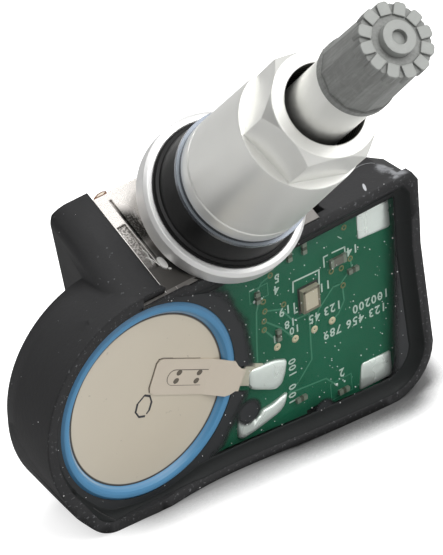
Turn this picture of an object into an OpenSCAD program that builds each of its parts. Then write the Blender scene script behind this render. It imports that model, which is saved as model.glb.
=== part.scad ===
// Tyre pressure sensor with a clamp-in valve.
// Lengths are millimetres and angles are degrees.
// The origin is the centre of the wheel's rim hole, where the grommet meets the washer.
// +Z is up as the part stands on its long side, -Y is the open potted face, +X runs from the cell to the far end.

/* [Cell] */
// Radius over the blue sleeve of the cell.
cell_r = 12.5; // [12.3:0.05:12.6]
// Thickness of the cell with its sleeve.
cell_t = 5.6; // [5.2:0.1:5.8]
// Wall of the sleeve round the can.
sleeve_wall = 0.3; // [0.2:0.05:0.4]
// How far the sleeve's lip stands over the can's face.
lip_h = 0.68; // [0.5:0.02:0.8]
// Width of the lip, seen from the front.
lip_w = 1.55; // [1.3:0.05:1.8]

/* [Housing] */
// Plastic wall round the potted space.
wall = 1.3; // [1.1:0.1:1.5]
// Room between the sleeve and the wall of the round end.
cell_room = 1.2; // [1:0.05:1.4]
// Height of the rim over the sleeve's lip.
rim_h = 0.8; // [0.5:0.1:1]
// Depth of the round end behind the lip.
lobe_depth = 9; // [8.8:0.1:10]
// Depth of the main block behind the lip.
block_depth = 13.8; // [13.5:0.1:15]
// Depth over which the block has its full height beside the bracket.
shelf_depth = 5.4; // [4.8:0.2:6.4]
// Distance from the cell's centre to the far end.
far_end = 41.3; // [40.8:0.1:42.5]
// Radius of the lower corner at the far end.
far_corner_r = 6.5; // [5:0.25:7]
// Slope of the long side against the top edge.
floor_lean = 4.6; // [4:0.1:5]
// Height of the top edge over the cell's centre.
top_edge = 13.4; // [13.2:0.1:13.6]
// Width of the raised ear beside the bracket.
ear_w = 5.1; // [4.8:0.1:5.6]
// Height of the ear's crest over the bracket's plate.
ear_rise = 0.1; // [0:0.1:0.6]

/* [Potting] */
// Depth of the potting's surface below the sleeve's lip.
potting_drop = 0.2; // [0.1:0.05:0.3]

/* [Board] */
// Depth of the board's face below the sleeve's lip.
board_drop = 1.4; // [1.3:0.05:1.5]
// Thickness of the board.
board_t = 1; // [0.8:0.1:1.2]
// Gap round the cell in the board's curved side.
board_gap = 1; // [0.8:0.1:1.2]
// Thickness of the cell's welded tabs.
tab_t = 0.15; // [0.1:0.05:0.2]

/* [Bracket] */
// Slope of the bracket's plate against the long side.
plate_tilt = 27; // [26:0.5:28]
// Thickness of the bracket's sheet.
sheet_t = 1; // [0.8:0.1:1.1]
// Width of the bracket across the valve.
plate_w = 22.2; // [21.8:0.1:22.6]
// Length of the plate up its slope.
plate_l = 14.2; // [13.6:0.1:14.4]

/* [Valve] */
// Tilt of the valve towards the potted face.
valve_tilt = 43.1; // [42:0.1:44]
// Radius of the smooth stem.
stem_r = 4; // [3.9:0.05:4.1]
// Outer radius of the seat ring.
ring_r = 10; // [9.8:0.05:10.2]
// Height of the seat ring.
ring_h = 2.5; // [2.3:0.1:2.7]
// Radius of the grommet's neck, which fills the rim hole.
neck_r = 5.65; // [5.6:0.05:5.75]
// Height of the rim seat over the ring's foot.
seat_h = 7.3; // [7:0.1:7.6]
// Radius of the washer.
washer_r = 8.2; // [8:0.05:8.4]
// Thickness of the washer.
washer_t = 0.6; // [0.5:0.1:0.8]
// Width of the nut's hexagon across its flats.
hex_flats = 12.5; // [12:0.1:13]
// Length of the nut.
nut_l = 23.2; // [22.5:0.1:23.8]
// Length of the stem that stands out of the nut.
stem_reach = 16.3; // [15.5:0.1:17]
// Length of the stem that the cap covers.
cap_grip = 8.4; // [8:0.1:9]
// Radius of the wide mouth in the nut's end.
mouth_r = 4.78; // [4.6:0.02:4.9]
// Running clearance of the screwed parts on the stem.
thread_gap = 0.05; // [0.03:0.01:0.08]

/* [Cap] */
// Radius of the threaded end of the stem.
thread_r = 3.7; // [3.6:0.05:3.75]
// Radius of the cap over its foot.
cap_r = 4.45; // [4.35:0.05:4.6]
// Length of the cap up to its teeth.
cap_l = 10.7; // [10.4:0.1:11.4]
// Number of teeth and sides of the cap.
cap_teeth = 12; // [10:1:14]
// Width of a tooth of the cap.
tooth_w = 1.35; // [1.1:0.05:1.5]
// Length of the valve core.
core_l = 8; // [7.6:0.1:8.6]

/* [Hidden] */
$fn = 64;
far = 100;
tiny = 0.01;
lobe_r = cell_r + cell_room + wall;
lobe_draft = 1.4;
can_r = cell_r - sleeve_wall;
face_r = cell_r - lip_w;
potting_n = -potting_drop;
board_n = -board_drop;
under_n = board_n - board_t;
shallow_n = -cell_t - 1.4;
strip_n = -3.5;
strip_v = 8.1;
deep_n = wall - block_depth + 0.3;
deep_top = 4.3;
back_top = strip_v + wall;
block_left = -0.4;
ear_right = 3.4;
low_edge = -15.02;
low_slope = tan(floor_lean);
near_corner_r = 5;
near_corner_u = -6.03;
near_corner_v = low_line(near_corner_u, near_corner_r);
skirt_r = 14.4;
skirt_lean = 13.5;
skirt_u = 0.75;
skirt_v = -3.5;
plate_v = top_edge + 0.4;
plate_n = 0.2;
valve_u = ear_right + plate_w / 2 + 0.8;
valve_v = 18.27;
valve_n = -4.6;
seat_y = -valve_n - seat_h * sin(valve_tilt);
seat_z = valve_v + seat_h * cos(valve_tilt);
foot_r = 8;
cup_floor = 1;
cup_r = ring_r - 1.1;
flange_r = 7;
flange_top = cup_floor + 1.2;
nut_foot = seat_h + washer_t;
nut_top = nut_foot + nut_l;
nut_turn = -15;
hex_from = nut_top - 6.5;
neck_l = 3;
stem_top = nut_top + stem_reach;
cap_foot = stem_top - cap_grip;
shoulder = cap_foot - 0.5;
crown = cap_foot + cap_l;
tooth_h = 0.3;
tooth_turn = 20.5;
hub_r = 1.9;
hub_h = 0.8;
seal_low = stem_top + 0.2;
seal_t = 0.7;
chamber_r = 2.1;
core_top = stem_top - 1.4;
core_low = core_top - core_l;
screw_r = 1.9;
screw_head_r = 3;
head_z = -5.6;
stem_boss_r = 3;
stem_foot = -0.6;
port_u = 27;
port_v = -3;
port_r = 0.8;
flange_h = 4;
slot_w = 1.6;
lip_left = 3.4;

// Turns the part so that its long side lies level, with the rim seat at the origin.
module stand() {
  rotate([0, -floor_lean, 0])
    translate([-valve_u, -seat_y, -seat_z])
      children();
}

// Draws in the plane of the potted face: x along the housing, y up, z out of the face.
module flat() {
  stand() rotate([90, 0, 0]) children();
}

// Draws on the bracket's plate: y runs up the slope from its front edge, z out of the plate.
module on_plate() {
  flat() translate([0, plate_v, plate_n])
    rotate([plate_tilt - 90, 0, 0]) children();
}

// Draws along the valve: z runs out along the stem from the foot of the seat ring.
module on_valve() {
  stand() translate([valve_u, -valve_n, valve_v])
    rotate([valve_tilt, 0, 0]) children();
}

// A slab between two depths of the potted face, from a flat drawing.
module slab(low, high) {
  translate([0, 0, low]) linear_extrude(high - low) children();
}

module tube(outer, inner, low, high) {
  translate([0, 0, low]) difference() {
    cylinder(r = outer, h = high - low);
    translate([0, 0, -1]) cylinder(r = inner, h = high - low + 2);
  }
}

function low_line(u, inset) = low_edge - low_slope * u + inset;
function arc(cu, cv, r, from, to, steps) =
  [for (i = [0 : steps]) let (a = from + (to - from) * i / steps) [cu + r * cos(a), cv + r * sin(a)]];

// Outline of the main block, moved inwards by an inset.
function block_outline(left, top, inset) = concat(
  [[left, top], [left, low_line(left, inset)]],
  arc(far_end - far_corner_r, low_line(far_end - far_corner_r, far_corner_r),
    far_corner_r - inset, -90 - floor_lean, -4, 8),
  [[far_end - 1.1 - inset, 3], [far_end - 1 - inset, top - 1.4], [far_end - 1.9 - inset, top]]);

module block_shape(left, top, inset) {
  polygon(block_outline(left, top, inset));
}

module near_corner(inset) {
  translate([near_corner_u, near_corner_v]) circle(r = near_corner_r - inset);
}

// The skirt's outline at the near corner: its circle, and all that lies above or right of its arc.
module skirt_outline() {
  out = [near_corner_u - skirt_u, near_corner_v - skirt_v];
  near_corner(0);
  polygon([[near_corner_u, near_corner_v], [near_corner_u + 3 * out[0], near_corner_v + 3 * out[1]],
    [-30, 30], [6, 30], [6, low_line(6, 0)], [near_corner_u, low_line(near_corner_u, 0)]]);
}

// The round end: a cone round the cell, and a skirt that leans out to the near corner.
module lobe() {
  h = lobe_depth + rim_h;
  translate([0, 0, -lobe_depth]) cylinder(r1 = lobe_r - lobe_draft, r2 = lobe_r, h = h);
  intersection() {
    slab(-lobe_depth, rim_h) skirt_outline();
    translate([skirt_u, skirt_v, rim_h]) rotate([skirt_lean, 0, 0])
      translate([0, 0, -20]) cylinder(r = skirt_r, h = 30);
  }
}

// Fills the notch between a circle round the cell and the near corner's circle, up to their tangent.
module corner_fill(big_r, small_r) {
  corner = [near_corner_u, near_corner_v];
  turn = atan2(corner[1], corner[0]) - acos((big_r - small_r) / norm(corner));
  out = [cos(turn), sin(turn)];
  polygon([[0, 0], big_r * out, corner + small_r * out, corner]);
}

// The potted space, without what is sunk in it.
module potted_space(top_n) {
  slope = lobe_draft / (lobe_depth + rim_h);
  translate([0, 0, shallow_n]) cylinder(
    r1 = lobe_r - wall - slope * (rim_h - shallow_n),
    r2 = lobe_r - wall - slope * (rim_h - top_n), h = top_n - shallow_n);
  slab(strip_n, top_n) near_corner(wall);
  slab(strip_n, top_n) corner_fill(lobe_r - wall, near_corner_r - wall);
  slab(shallow_n, top_n) block_shape(near_corner_u, strip_v, wall);
  slab(strip_n, top_n) block_shape(near_corner_u, top_edge - wall, wall);
  slab(deep_n, shallow_n + tiny) block_shape(block_left + wall, deep_top, wall);
}

// The slanted hole behind the bracket that the stem's screw goes in by.
module driver_hole(r) {
  on_valve() translate([0, 0, -30]) cylinder(r = r, h = 30);
}

module housing() {
  color([0.13, 0.13, 0.13]) difference() {
    union() {
      flat() {
        lobe();
        slab(-2, rim_h) block_shape(near_corner_u, top_edge, 0);
        slab(-shelf_depth, rim_h) block_shape(block_left, top_edge, 0);
        slab(-block_depth, rim_h) block_shape(block_left, back_top, 0);
      }
      ear();
      ramp();
    }
    flat() potted_space(rim_h + 1);
    driver_hole(screw_head_r + 0.3);
    bracket_room();
    shelf_chamfers();
    flat() translate([port_u, port_v, -block_depth - 1]) cylinder(r = port_r, h = 4);
  }
}

// The tall ear that stands on the near side of the bracket.
module ear() {
  intersection() {
    on_plate() translate([0, -9, 0]) rotate([-90, 0, 0]) linear_extrude(10 + plate_l)
      ear_section();
    flat() slab(-block_depth, plate_n) translate([-10, 8]) square([30, 30]);
  }
}

// Seen along the plate, the ear has one rounded shoulder; its crest is at the top of the drawing.
module ear_section() {
  round_r = 2.2;
  translate([ear_right - ear_w, -ear_rise]) {
    polygon([[0, round_r], [1.3, 14], [ear_w, 14], [ear_w, round_r]]);
    translate([round_r, 0]) square([ear_w - round_r, 5]);
    translate([round_r, round_r]) circle(r = round_r);
  }
}

// The slanted seat under the bracket's plate.
module ramp() {
  intersection() {
    on_plate() translate([ear_right - 1, -2, -14 - sheet_t])
      cube([plate_w + slot_w + 2, plate_l + 2, 14]);
    flat() slab(-block_depth, 0) translate([-10, 8]) square([60, 30]);
  }
}

// What the bracket takes out of the housing: its plate, lip, flanges and a slot beside it.
module bracket_room() {
  on_plate() {
    for (x = [ear_right, ear_right + plate_w - sheet_t])
      translate([x, 0, 0]) flange_side();
    translate([ear_right, 0, -sheet_t]) cube([plate_w, plate_l + 3, far]);
    translate([ear_right - lip_left, -0.5, -sheet_t]) cube([plate_w + lip_left, 0.55, far]);
    translate([ear_right + plate_w - tiny, 0.3, -3]) cube([slot_w, plate_l + 2, far]);
  }
}

// The shelf's slanted edges beside the bracket, at the back and at the far end.
module shelf_chamfers() {
  flat() slab(-block_depth - 1, -0.3) polygon([[far_end - 3.7, top_edge + tiny],
    [far_end, top_edge + tiny], [far_end, top_edge - 2.1]]);
  flat() translate([ear_right + plate_w + slot_w + 1, top_edge, -shelf_depth + 1]) rotate([45, 0, 0])
    translate([0, 0, -6]) cube([far, 3, 6]);
}

module potting() {
  color([0.07, 0.09, 0.08, 0.6]) difference() {
    flat() potted_space(potting_n);
    flat() slab(-cell_t, 1) circle(r = cell_r);
    bracket_room();
    board_body();
    flat() translate([0, 0, -cell_t - tab_t]) negative_outline();
    flat() translate([port_u, port_v, deep_n - 1]) cylinder(r = port_r + tiny, h = under_n - 0.4 - deep_n);
    buried_parts();
  }
}

// Everything under and on the board that the potting flows round.
module buried_parts() {
  crystal();
  inductor();
  chip_parts();
  antenna_strap();
  sensor_chip();
  port_gasket();
  wake_coil();
  solder_joints();
  positive_tab();
}

module board_outline() {
  difference() {
    polygon([[5, 11.2], [38.2, 11.2], [38.2, 4], [37.6, -6], [37.4, -12.6],
      [36.4, -15.2], [34, -15.75], [11, -13.2], [5, -13.2]]);
    circle(r = cell_r + board_gap);
    translate([27.4, 9.6]) square([1.5, 4]);
    translate([23.2, -16]) square([2.8, 1.9]);
  }
}

module board_body() {
  flat() slab(under_n, board_n) board_outline();
}

module circuit_board() {
  color([0.16, 0.42, 0.33]) board_body();
}

module cell_can() {
  color([0.78, 0.74, 0.68]) flat() difference() {
    union() {
      slab(-cell_t + 0.9, -lip_h - 0.2) circle(r = can_r);
      slab(-lip_h - 0.2, -lip_h) circle(r = face_r);
    }
    slab(-cell_t - 1, -lip_h - 0.9) circle(r = can_r - 0.5);
  }
}

module cell_cap() {
  color([0.72, 0.7, 0.66]) flat() union() {
    slab(-cell_t + 0.3, -cell_t + 0.9) circle(r = can_r - 1.6);
    slab(-cell_t + 0.9, -lip_h - 1.1) circle(r = can_r - 1.1);
  }
}

module cell_gasket() {
  color([0.2, 0.2, 0.2]) flat() {
    tube(can_r - 0.5, can_r - 1.1, -cell_t + 0.9, -lip_h - 0.9);
    tube(can_r, can_r - 1.6, -cell_t + 0.3, -cell_t + 0.9);
  }
}

module cell_sleeve() {
  color([0.25, 0.5, 0.7]) flat() rotate_extrude() polygon([
    [can_r, -lip_h - 0.2], [face_r, -lip_h - 0.2], [face_r, -lip_h], [face_r + 0.5, -0.08],
    [face_r + 0.8, 0], [cell_r - 0.35, 0], [cell_r, -0.3], [cell_r, -cell_t],
    [cell_r - 2.4, -cell_t], [cell_r - 2.4, -cell_t + 0.3], [can_r, -cell_t + 0.3]]);
}

tab_turn = -26.6;
tab_u = 1.2;
tab_v = 2.8;
tab_l = 12.4;

// Seen from the front: a broad blade with a narrower tail.
module tab_outline() {
  translate([tab_u, tab_v]) rotate(tab_turn)
    polygon([[0, -1.4], [0.8, -2.15], [tab_l - 0.9, -2.4], [tab_l + 0.2, -1.75],
      [tab_l + 4, -1.75], [tab_l + 4, 1.1], [tab_l + 0.5, 1.1], [tab_l - 0.7, 2.05], [0.9, 2.15],
      [0.1, 1.4]]);
}

// Side view of the tab: along the face, over the lip, down to the board.
module tab_section() {
  top = -lip_h + tab_t;
  over = 0.02 + tab_t;
  up = 7.9;
  down = tab_l + 1.1;
  foot = down + 1.2;
  polygon([[-2, -lip_h], [up, -lip_h], [up + 1.2, 0.02], [down, 0.02], [foot, board_n],
    [tab_l + 5, board_n], [tab_l + 5, board_n + tab_t], [foot + tab_t, board_n + tab_t],
    [down + tab_t, over], [up + 1.2 - tab_t, over], [up - tab_t, top], [-2, top]]);
}

module positive_tab() {
  color([0.8, 0.77, 0.7]) flat() intersection() {
    translate([0, 0, -5]) linear_extrude(10) tab_outline();
    translate([tab_u, tab_v, 0]) rotate([0, 0, tab_turn]) translate([0, 10, 0])
      rotate([90, 0, 0]) linear_extrude(20) tab_section();
  }
}

module negative_outline() {
  linear_extrude(tab_t) translate([0, -9.5]) square([16.5, 4]);
}

module negative_tab() {
  color([0.8, 0.77, 0.7]) flat() translate([0, 0, -cell_t - tab_t]) negative_outline();
}

module solder_joints() {
  color([0.85, 0.85, 0.85]) difference() {
    flat() {
      slab(board_n, board_n + 0.5) polygon([[15, -3.6], [17.1, -4.9], [20.6, -4.7], [21.1, -6.6],
        [18.4, -7.9], [15, -6.1]]);
      slab(board_n, board_n + 0.45) polygon([[13, -10.1], [14.7, -10.9], [16.6, -10.2], [20.2, -9.8],
        [20, -10.6], [17, -11.6], [13.2, -12.2]]);
      slab(board_n, board_n + 0.3) {
        polygon([[32.4, 9.8], [37.4, 9.7], [37.5, 5.5], [32.6, 6]]);
        polygon([[31.6, -11.6], [36.2, -11.8], [36.2, -14.9], [34, -15.3], [31.4, -15.1]]);
      }
    }
    positive_tab();
  }
}

module crystal() {
  color([0.8, 0.78, 0.74]) flat() slab(board_n, board_n + 0.7)
    translate([23.4, 0.2]) square([2.5, 3.1]);
}

module inductor() {
  color([0.2, 0.2, 0.2]) flat() slab(board_n, board_n + 0.6)
    translate([27.9, 4]) square([2.6, 1.5]);
}

// Small two-ended parts, as [u, v, turn].
chips = [[17.2, 5.4, 90], [18.9, 8.6, 0], [28.8, -13.9, 0], [22.2, 8.9, 90], [24.4, 8.9, 90],
  [31.4, 2.4, 0], [19.8, -1.2, 90], [22.4, -11.8, 0]];
module chip_parts() {
  color([0.5, 0.45, 0.4]) flat() slab(board_n, board_n + 0.4) for (c = chips)
    translate([c[0], c[1]]) rotate(c[2]) translate([-0.6, -0.3]) square([1.2, 0.6]);
}

// A folded loop on the back of the board, with a foot through it at each end.
module antenna_strap() {
  low = -13.4;
  high = strip_v - 0.4;
  color([0.75, 0.73, 0.68]) flat() {
    slab(under_n - 3.2, under_n - 2.9) translate([33.4, low]) square([2.4, high - low]);
    for (v = [low, high - 0.3]) slab(under_n - 3.2, under_n)
      translate([33.4, v]) square([2.4, 0.3]);
  }
}

module sensor_chip() {
  color([0.15, 0.15, 0.16]) flat() difference() {
    slab(under_n - 2, under_n) translate([port_u - 3.5, port_v - 3]) square([7, 6]);
    translate([port_u, port_v, under_n - 3]) cylinder(r = port_r, h = 1.6);
  }
}

module port_gasket() {
  color([0.3, 0.3, 0.32]) flat() translate([port_u, port_v, 0])
    tube(2, port_r, deep_n, under_n - 2);
}

module wake_coil() {
  color([0.25, 0.2, 0.18]) flat() slab(under_n - 2.6, under_n)
    translate([16.6, -8.5]) square([2.8, 8]);
}

// A side flange of the bracket, cut back at the front so that it clears the cell.
module flange_side() {
  rotate([90, 0, 90]) linear_extrude(sheet_t) polygon([[2.5, 0], [2.5, -sheet_t - 0.5],
    [7.2, -flange_h], [plate_l - 2, -flange_h], [plate_l - 2, 0]]);
}

module bracket() {
  color([0.8, 0.77, 0.75]) difference() {
    on_plate() {
      translate([ear_right, 0, -sheet_t]) cube([plate_w, plate_l, sheet_t]);
      translate([ear_right - lip_left, -0.5, -0.6]) cube([plate_w + lip_left, 0.5, 0.6]);
      for (x = [ear_right, ear_right + plate_w - sheet_t])
        translate([x, 0, 0]) flange_side();
    }
    on_plate() {
      translate([ear_right + 0.25, 3.1, -0.3]) cube([1.2, 6.6, 1]);
      translate([ear_right + 1.7, 4, -0.35]) cube([0.3, plate_l - 5, 1]);
    }
    on_valve() translate([0, 0, -20]) cylinder(r = screw_r + 0.3, h = 30);
    on_valve() translate([0, 0, -0.06]) cylinder(r = ring_r + 0.3, h = 5);
  }
}

// Keeps what lies over the plate (side 1) or under it (side -1).
module plate_half(side, shift) {
  on_plate() translate([-far, -far, side > 0 ? shift : shift - far]) cube([3 * far, 2 * far, far]);
}

module angle_washer() {
  color([0.7, 0.7, 0.7]) intersection() {
    on_valve() tube(3.1, screw_r + 0.3, head_z, 10);
    plate_half(-1, -sheet_t);
  }
}

module stem_screw() {
  color([0.6, 0.6, 0.6]) on_valve() difference() {
    union() {
      translate([0, 0, head_z - 2]) cylinder(r = screw_head_r, h = 2);
      translate([0, 0, head_z]) cylinder(r = screw_r, h = 5 - head_z);
    }
    translate([0, 0, head_z - 3]) cylinder(r = 1.2, h = 2.2, $fn = 6);
    translate([0, 0, head_z - 3]) cylinder(r = 0.6, h = 20);
  }
}

module seat_ring() {
  color([0.85, 0.85, 0.86]) difference() {
    union() {
      on_valve() rotate_extrude() polygon([[stem_boss_r + 0.1, 0], [ring_r, 0],
        [ring_r, ring_h - 0.4], [ring_r - 0.4, ring_h], [cup_r + 0.15, ring_h],
        [cup_r, ring_h - 0.2], [cup_r, cup_floor], [stem_boss_r + 0.1, cup_floor]]);
      intersection() {
        on_valve() tube(foot_r, stem_boss_r + 0.1, -8, tiny);
        plate_half(1, 0);
      }
    }
  }
}

module valve_stem() {
  color([0.8, 0.8, 0.79]) on_valve() rotate_extrude() polygon([
    [screw_r, stem_foot], [stem_boss_r, stem_foot], [stem_boss_r, cup_floor],
    [flange_r, cup_floor], [flange_r, flange_top], [stem_r, flange_top],
    [stem_r, shoulder - 0.15], [thread_r, shoulder], [thread_r, stem_top - 0.4],
    [thread_r - 0.4, stem_top], [chamber_r + 0.3, stem_top], [chamber_r, stem_top - 0.3],
    [chamber_r, core_low - 2.2], [1.2, core_low - 3], [1.2, 6], [screw_r, 5.4]]);
}

module grommet() {
  color([0.05, 0.05, 0.05]) on_valve() rotate_extrude() polygon([
    [flange_r, cup_floor], [cup_r, cup_floor], [cup_r, ring_h - 0.2], [cup_r - 0.15, ring_h],
    [cup_r - 0.15, ring_h + 0.5], [cup_r - 0.5, ring_h + 0.6], [washer_r - 0.45, seat_h - 0.5],
    [washer_r - 0.7, seat_h], [neck_r, seat_h], [neck_r, seat_h + neck_l], [stem_r, seat_h + neck_l],
    [stem_r, flange_top], [flange_r, flange_top]]);
}

module washer() {
  color([0.6, 0.65, 0.7]) on_valve()
    tube(washer_r, neck_r + 0.1, seat_h, nut_foot);
}

module collar_nut() {
  color([0.77, 0.77, 0.75]) on_valve() intersection() {
    rotate_extrude() polygon([
      [neck_r + 0.15, nut_foot], [washer_r - 0.45, nut_foot], [washer_r - 0.45, nut_foot + 2.2],
      [washer_r - 0.6, nut_foot + 2.3], [washer_r - 0.6, nut_foot + 2.5],
      [washer_r - 0.45, nut_foot + 2.6], [hex_flats * 0.598, hex_from - 0.5],
      [hex_flats * 0.58, nut_top - 1.4], [hex_flats / 2, nut_top], [mouth_r, nut_top],
      [mouth_r, nut_foot + 14], [stem_r + thread_gap, nut_foot + 13.2],
      [stem_r + thread_gap, nut_foot + neck_l + 0.2], [neck_r + 0.15, nut_foot + neck_l + 0.2]]);
    union() {
      cylinder(r = 20, h = hex_from);
      rotate(nut_turn) cylinder(r = hex_flats / 2 / cos(30), h = nut_top + 1, $fn = 6);
    }
  }
}

module core_body() {
  color([0.8, 0.65, 0.35]) on_valve() tube(chamber_r, 0.95, core_low, core_top);
}

module core_pin() {
  color([0.82, 0.7, 0.4]) on_valve() rotate_extrude() polygon([
    [0, core_low - 1.4], [1.2, core_low - 1.4], [1.2, core_low - 0.75], [0.4, core_low - 0.75],
    [0.4, core_top - 2], [0.85, core_top - 2], [0.85, core_top - 1.4], [0.4, core_top - 1.4],
    [0.4, core_top + 0.8], [0, core_top + 0.8]]);
}

module core_spring() {
  color([0.7, 0.7, 0.7]) on_valve() translate([0, 0, core_low + 0.6])
    linear_extrude(height = core_top - core_low - 2.8, twist = -1440, slices = 48, $fn = 8)
      translate([0.66, 0]) circle(r = 0.12, $fn = 8);
}

module core_seal() {
  color([0.1, 0.1, 0.1]) on_valve() tube(1.6, 0.4, core_low - 0.75, core_low);
}

// One tooth of the crown, seen from the end, with its outer corners rounded.
module tooth_shape() {
  corner = 0.4;
  tip = cap_r - 0.15;
  translate([2.8, -tooth_w / 2]) square([tip - corner - 2.8, tooth_w]);
  translate([tip - corner - tiny, corner - tooth_w / 2]) square([corner + tiny, tooth_w - 2 * corner]);
  for (side = [-1, 1]) translate([tip - corner, side * (tooth_w / 2 - corner)]) circle(r = corner);
}

module cap() {
  flat_turn = tooth_turn - 180 / cap_teeth;
  color([0.48, 0.48, 0.47]) on_valve() difference() {
    union() {
      translate([0, 0, cap_foot]) cylinder(r = cap_r, h = 0.9);
      translate([0, 0, cap_foot]) rotate(flat_turn)
        cylinder(r1 = cap_r - 0.1, r2 = cap_r - 0.3, h = cap_l - tooth_h, $fn = cap_teeth);
      for (i = [0 : cap_teeth - 1]) rotate(tooth_turn + i * 360 / cap_teeth)
        translate([0, 0, crown - 1.7]) linear_extrude(1.7) tooth_shape();
      translate([0, 0, crown - 1]) cylinder(r = hub_r, h = 1 + hub_h);
    }
    translate([0, 0, cap_foot - 1])
      cylinder(r = thread_r + thread_gap, h = seal_low + seal_t - cap_foot + 1);
    translate([0, 0, crown + hub_h - 0.6]) cylinder(r = 0.85, h = 2);
  }
}

module cap_seal() {
  color([0.1, 0.1, 0.1]) on_valve() translate([0, 0, seal_low]) cylinder(r = thread_r, h = seal_t);
}

housing();
potting();
circuit_board();
cell_can();
cell_cap();
cell_gasket();
cell_sleeve();
positive_tab();
negative_tab();
solder_joints();
crystal();
inductor();
chip_parts();
antenna_strap();
sensor_chip();
port_gasket();
wake_coil();
bracket();
angle_washer();
stem_screw();
seat_ring();
valve_stem();
grommet();
washer();
collar_nut();
core_body();
core_pin();
core_spring();
core_seal();
cap();
cap_seal();
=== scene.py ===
"""Looks of the tyre pressure sensor. Lengths are metres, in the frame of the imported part."""

import math

import bmesh
import bpy
from mathutils import Matrix, Vector


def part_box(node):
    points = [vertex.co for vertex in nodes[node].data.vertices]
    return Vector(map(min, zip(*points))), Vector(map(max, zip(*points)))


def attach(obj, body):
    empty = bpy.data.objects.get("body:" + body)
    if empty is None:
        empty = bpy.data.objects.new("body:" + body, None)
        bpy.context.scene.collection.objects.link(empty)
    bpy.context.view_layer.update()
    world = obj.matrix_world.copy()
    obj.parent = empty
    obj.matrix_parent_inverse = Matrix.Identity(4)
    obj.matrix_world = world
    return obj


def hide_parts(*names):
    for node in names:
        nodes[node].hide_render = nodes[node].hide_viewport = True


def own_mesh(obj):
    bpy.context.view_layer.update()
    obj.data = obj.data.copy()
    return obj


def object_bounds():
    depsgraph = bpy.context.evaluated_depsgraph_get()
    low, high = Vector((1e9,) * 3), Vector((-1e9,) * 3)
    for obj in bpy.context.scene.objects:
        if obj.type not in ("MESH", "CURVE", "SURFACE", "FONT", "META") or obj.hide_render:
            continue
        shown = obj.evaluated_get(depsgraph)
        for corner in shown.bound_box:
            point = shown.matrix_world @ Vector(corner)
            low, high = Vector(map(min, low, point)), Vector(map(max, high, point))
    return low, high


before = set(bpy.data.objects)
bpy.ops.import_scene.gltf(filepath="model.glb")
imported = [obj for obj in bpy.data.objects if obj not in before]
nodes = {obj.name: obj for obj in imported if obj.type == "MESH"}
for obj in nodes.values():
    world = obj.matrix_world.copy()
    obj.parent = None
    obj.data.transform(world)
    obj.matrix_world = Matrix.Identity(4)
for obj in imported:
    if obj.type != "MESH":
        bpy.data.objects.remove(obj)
MM = 0.001


def limits(bounds):
    """The lowest and highest corner as plain lists."""
    return [list(bounds[0]), list(bounds[1])]


cad_size = limits(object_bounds())

# The local frames of the part's source, in millimetres: its stand, the potted face, the valve's axis
# and the bracket's plate.
LEAN = math.radians(4.6)
VALVE_TILT = math.radians(43.1)
PLATE_TILT = math.radians(27)
SEAT = 7.3
VALVE_AT = Vector((15.3, 4.6, 18.27))
SEAT_AT = VALVE_AT + Vector((0, -math.sin(VALVE_TILT), math.cos(VALVE_TILT))) * SEAT
STAND = Matrix.Rotation(-LEAN, 4, "Y") @ Matrix.Translation(-SEAT_AT)
FLAT = STAND @ Matrix.Rotation(math.radians(90), 4, "X")
VALVE = STAND @ Matrix.Translation(VALVE_AT) @ Matrix.Rotation(VALVE_TILT, 4, "X")
PLATE = FLAT @ Matrix.Translation((0, 13.8, 0.2)) @ Matrix.Rotation(PLATE_TILT - math.radians(90), 4, "X")
TAB = FLAT @ Matrix.Translation((1.2, 2.8, 0)) @ Matrix.Rotation(math.radians(-26.6), 4, "Z")
SCALE = Matrix.Scale(MM, 4)

# Depths in the potted face's frame.
BOARD = -1.4
CELL_FACE = -0.68
POTTING_TOP = -0.2

TAB_T = 0.15
SKIN_T = 0.06
EDGE_WIDE = 1.7
EDGE_RISE = 0.95
VALVE_PITCH = 0.79375
NUT_PITCH = 1.0
MOUTH_EDGE = (4.8, 4.84)

# The long side that the part stands on, and the near corner with the skirt that leans out to it.
FLOOR = cad_size[0][2] / MM
HOLLOW_FROM = 1.0
HOLLOW_LONG = 32.0
HOLLOW_DEEP = 0.75
HOLLOW_FADE = 6.0
CORNER_AT = Vector((-6.03, -9.535))
CORNER_R = 5.0
SKIRT_AT = Vector((0.75, -3.5))
BLEND_TURN = math.radians(50)

# Dark and clear patches in the potting: places, half sizes and turn in degrees.
DARK_SPOTS = [(13.9, -8.8, 1.7), (24.9, -14.3, 1.5)]
CLEAR_OVALS = [(16.5, -11.3, 3.9, 1.5, 3), (14.0, -3.95, 3.2, 1.75, -26.6)]

# Small things on the board and the housing.
VIAS = [(30.6, 8.7), (19.4, 7.4), (18.1, 4.3), (18.2, 2.9), (18.0, 1.6), (17.9, 0.4), (28.3, 3.6), (29.8, 3.3),
        (31.2, 4.0), (21.0, 2.5), (29.2, -14.0), (29.9, 0.8)]
TEST_PADS = [(27.9, -3.3), (25.2, -3.2), (22.3, -3.1), (19.6, -2.9)]
SMALL_CHIPS = [(17.2, 5.4, 90), (18.9, 8.6, 0), (28.8, -13.9, 0), (22.2, 8.9, 90), (24.4, 8.9, 90),
               (31.4, 2.4, 0), (19.8, -1.2, 90), (22.4, -11.8, 0)]
NICK = [(-9.78, -9.46), (-9.01, -10.54), (-8.06, -11.65), (-7.0, -12.82)]


# Shader helpers

def new_material(name):
    """An empty material, its node tree and its output."""
    made = bpy.data.materials.new(name)
    made.use_nodes = True
    tree = made.node_tree
    tree.nodes.clear()
    out = tree.nodes.new("ShaderNodeOutputMaterial")
    return made, tree, out


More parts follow.
